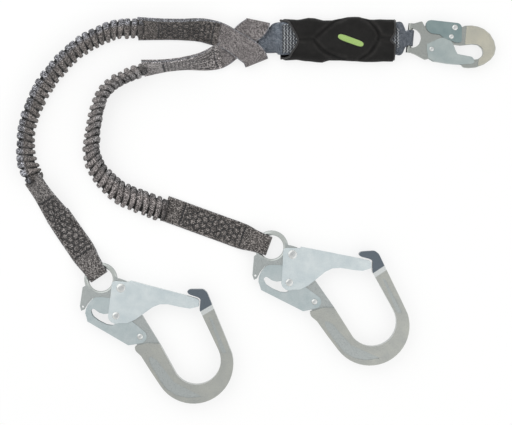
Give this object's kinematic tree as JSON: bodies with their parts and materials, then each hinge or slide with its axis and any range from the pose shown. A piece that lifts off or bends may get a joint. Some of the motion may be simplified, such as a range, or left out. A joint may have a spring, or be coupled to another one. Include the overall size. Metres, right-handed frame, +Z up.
{
  "type": "shock absorbing lanyard",
  "caption": "Twin-leg fall-arrest lanyard: elastic webbing legs with large gated hooks, a padded energy absorber and a double-locking snap hook.",
  "frame": {"origin": "middle of the layout's box, on the surface that it lies on", "axes": "+X along the layout from the legs towards the snap hook, +Y towards the absorber, +Z up from the surface"},
  "size_m": [0.6478, 0.5204, 0.0349],
  "materials": {
    "aluminium": "satin, tumbled forging",
    "zinc": "pale bluish zinc plate",
    "plated_steel": "satin plated steel",
    "rivet": "polished",
    "spring": "drawn wire",
    "grey_webbing": "heather grey woven polyester",
    "blue_webbing": "slate blue woven polyester",
    "black_webbing": "black woven polyester",
    "black_cover": "black coated cover fabric",
    "tear_webbing": "undyed tear webbing",
    "elastic": "elastic core band"
  },
  "bodies": {
    "webbing": {"absorber_cover": "black_cover", "absorber_core": "tear_webbing", "leg_end_loop": "blue_webbing", "leg_end_wear_pad": "black_webbing", "snap_end_loop": "blue_webbing", "yoke_strap": "grey_webbing", "leg_1_elastic_sleeve": "grey_webbing", "leg_1_elastic_core": "elastic", "leg_1_lower_strap": "grey_webbing", "leg_2_elastic_sleeve": "grey_webbing", "leg_2_elastic_core": "elastic", "leg_2_lower_strap": "grey_webbing"},
    "hook_1_frame": {"hook_1_body": "aluminium", "hook_1_gate_rivet": "rivet", "hook_1_lever_rivet": "rivet", "hook_1_gate_spring": "spring", "hook_1_lever_spring": "spring"},
    "hook_1_gate_set": {"hook_1_gate": "zinc", "hook_1_gate_pin": "rivet"},
    "hook_1_lever_set": {"hook_1_lever": "zinc"},
    "hook_2_frame": {"hook_2_body": "aluminium", "hook_2_gate_rivet": "rivet", "hook_2_lever_rivet": "rivet", "hook_2_gate_spring": "spring", "hook_2_lever_spring": "spring"},
    "hook_2_gate_set": {"hook_2_gate": "zinc", "hook_2_gate_pin": "rivet"},
    "hook_2_lever_set": {"hook_2_lever": "zinc"},
    "snap_frame": {"snap_body": "plated_steel", "snap_gate_rivet": "rivet", "snap_lock_rivet": "rivet", "snap_gate_spring": "spring", "snap_lock_spring": "spring"},
    "snap_gate_set": {"snap_gate": "zinc"},
    "snap_lock_set": {"snap_lock": "zinc", "snap_lock_pin": "rivet"}
  },
  "joints": [
    {"name": "hook_1_swivel", "type": "hinge", "parent": "webbing", "child": "hook_1_frame", "pos_m": [-0.2068, -0.0938, 0.01], "axis": [0, 0, 1], "range_deg": [-25, 25]},
    {"name": "hook_1_gate_turn", "type": "hinge", "parent": "hook_1_frame", "child": "hook_1_gate_set", "pos_m": [-0.17935, -0.1052, 0.01], "axis": [0, 0, 1], "range_deg": [-35, 0], "stiffness_Nm_per_rad": 0.8},
    {"name": "hook_1_lever_turn", "type": "hinge", "parent": "hook_1_frame", "child": "hook_1_lever_set", "pos_m": [-0.15378, -0.17048, 0.01], "axis": [0, 0, 1], "range_deg": [-12, 0], "stiffness_Nm_per_rad": 0.8},
    {"name": "hook_2_swivel", "type": "hinge", "parent": "webbing", "child": "hook_2_frame", "pos_m": [0.0227, -0.0506, 0.01], "axis": [0, 0, 1], "range_deg": [-10, 25]},
    {"name": "hook_2_gate_turn", "type": "hinge", "parent": "hook_2_frame", "child": "hook_2_gate_set", "pos_m": [0.0508, -0.0603, 0.01], "axis": [0, 0, 1], "range_deg": [-35, 0], "stiffness_Nm_per_rad": 0.8},
    {"name": "hook_2_lever_turn", "type": "hinge", "parent": "hook_2_frame", "child": "hook_2_lever_set", "pos_m": [0.0803, -0.1239, 0.01], "axis": [0, 0, 1], "range_deg": [-12, 0], "stiffness_Nm_per_rad": 0.8},
    {"name": "snap_swing", "type": "hinge", "parent": "webbing", "child": "snap_frame", "pos_m": [0.2083, 0.2308, 0.008], "axis": [-0.0958, -0.9954, 0], "range_deg": [-45, 45]},
    {"name": "snap_gate_turn", "type": "hinge", "parent": "snap_frame", "child": "snap_gate_set", "pos_m": [0.23778, 0.2156, 0.008], "axis": [0, 0, 1], "range_deg": [0, 15], "stiffness_Nm_per_rad": 0.2},
    {"name": "snap_lock_turn", "type": "hinge", "parent": "snap_frame", "child": "snap_lock_set", "pos_m": [0.26908, 0.24434, 0.008], "axis": [0, 0, 1], "range_deg": [0, 6], "stiffness_Nm_per_rad": 0.2}
  ],
  "couplings": [
    {"joint": "hook_1_lever_turn", "follows": "hook_1_gate_turn", "ratio": 0.3425},
    {"joint": "hook_2_lever_turn", "follows": "hook_2_gate_turn", "ratio": 0.3425},
    {"joint": "snap_lock_turn", "follows": "snap_gate_turn", "ratio": 0.399}
  ]
}
